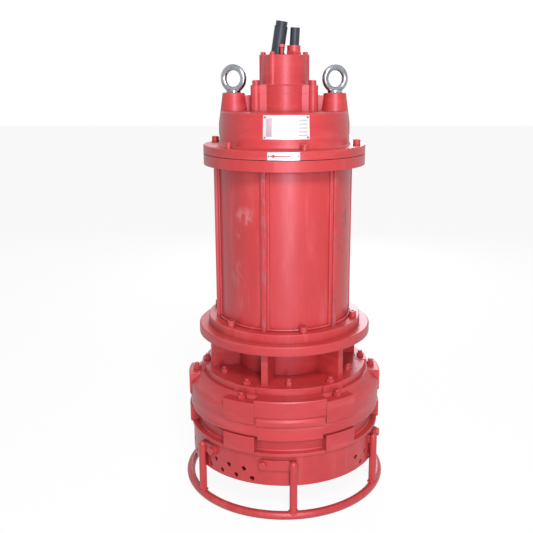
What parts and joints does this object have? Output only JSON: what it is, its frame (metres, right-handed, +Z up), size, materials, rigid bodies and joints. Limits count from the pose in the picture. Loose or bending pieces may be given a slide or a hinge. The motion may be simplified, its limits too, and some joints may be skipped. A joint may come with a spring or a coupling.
{
  "type": "slurry pump",
  "caption": "Submersible slurry pump: ribbed motor tube over an oil lantern, ring casing, strainer drum and round base frame, with lifting eyes and cable entry on top.",
  "frame": {"origin": "on the shaft axis at floor level, under the base ring", "axes": "+Z up along the shaft axis, -Y towards the rating plate, +Y towards the discharge flange"},
  "size_m": [0.5579, 0.624, 1.2362],
  "materials": {
    "red_paint": "satin red oxide enamel over cast iron and welded steel",
    "bare_iron": "as-cast wear-resistant iron",
    "bright_steel": "bright machined steel",
    "plate_aluminium": "thin blank plate, satin",
    "core_steel": "laminated electrical steel",
    "copper_winding": "varnished copper end turns",
    "cage_brass": "machined brass",
    "black_rubber": "slate black rubber",
    "board_resin": "moulded insulating resin",
    "seal_carbide": "lapped hard seal faces"
  },
  "bodies": {
    "pump": {"arrow_plate": "plate_aluminium", "back_liner": "bare_iron", "base_legs": "red_paint", "base_ring": "red_paint", "bearing_carrier": "bare_iron", "box_screws": "red_paint", "cable_box": "red_paint", "cap_gasket": "black_rubber", "casing_gasket": "black_rubber", "casing_nuts": "red_paint", "casing_studs": "red_paint", "clamp_screw": "red_paint", "column_screws": "red_paint", "control_gland": "red_paint", "control_lead_sleeve": "black_rubber", "eye_bolts": "bright_steel", "flange_screws": "red_paint", "housing_ribs": "red_paint", "lantern_nuts": "red_paint", "lantern_studs": "red_paint", "lead_grommet": "black_rubber", "leg_straps": "red_paint", "lower_bearing_cover": "bare_iron", "lower_bearing_outer_ring": "bright_steel", "motor_housing": "red_paint", "nameplate": "plate_aluminium", "oil_lantern": "red_paint", "oil_plug": "red_paint", "plate_rivets": "bright_steel", "power_lead_sleeve": "black_rubber", "pump_casing": "red_paint", "seal_cover": "bare_iron", "seal_seats": "seal_carbide", "spring_washers": "red_paint", "stator_core": "core_steel", "stator_windings": "copper_winding", "strainer_drum": "red_paint", "strainer_screws": "bright_steel", "strap_bolts": "red_paint", "suction_cover": "red_paint", "suction_liner": "bare_iron", "terminal_base": "red_paint", "terminal_board": "board_resin", "terminal_posts": "cage_brass", "top_cap": "red_paint", "upper_bearing_outer_ring": "bright_steel"},
    "rotor": {"shaft": "bright_steel", "impeller_key": "bright_steel", "rotor_core": "core_steel", "impeller": "bare_iron", "agitator": "bare_iron", "agitator_nut": "bright_steel", "impeller_nut": "bright_steel", "seal_cartridge": "seal_carbide", "lower_bearing_inner_ring": "bright_steel", "upper_bearing_inner_ring": "bright_steel"},
    "lower_cage": {"lower_bearing_cage": "cage_brass", "lower_bearing_rollers": "bright_steel"},
    "upper_cage": {"upper_bearing_cage": "cage_brass", "upper_bearing_rollers": "bright_steel"}
  },
  "joints": [
    {"name": "shaft_spin", "type": "hinge", "parent": "pump", "child": "rotor", "pos_m": [0, 0, 0.43], "axis": [0, 0, -1], "continuous": true},
    {"name": "lower_cage_spin", "type": "hinge", "parent": "pump", "child": "lower_cage", "pos_m": [0, 0, 0.427], "axis": [0, 0, -1], "continuous": true},
    {"name": "upper_cage_spin", "type": "hinge", "parent": "pump", "child": "upper_cage", "pos_m": [0, 0, 0.9405], "axis": [0, 0, -1], "continuous": true}
  ],
  "couplings": [
    {"joint": "lower_cage_spin", "follows": "shaft_spin", "ratio": 0.40976},
    {"joint": "upper_cage_spin", "follows": "shaft_spin", "ratio": 0.42286}
  ]
}
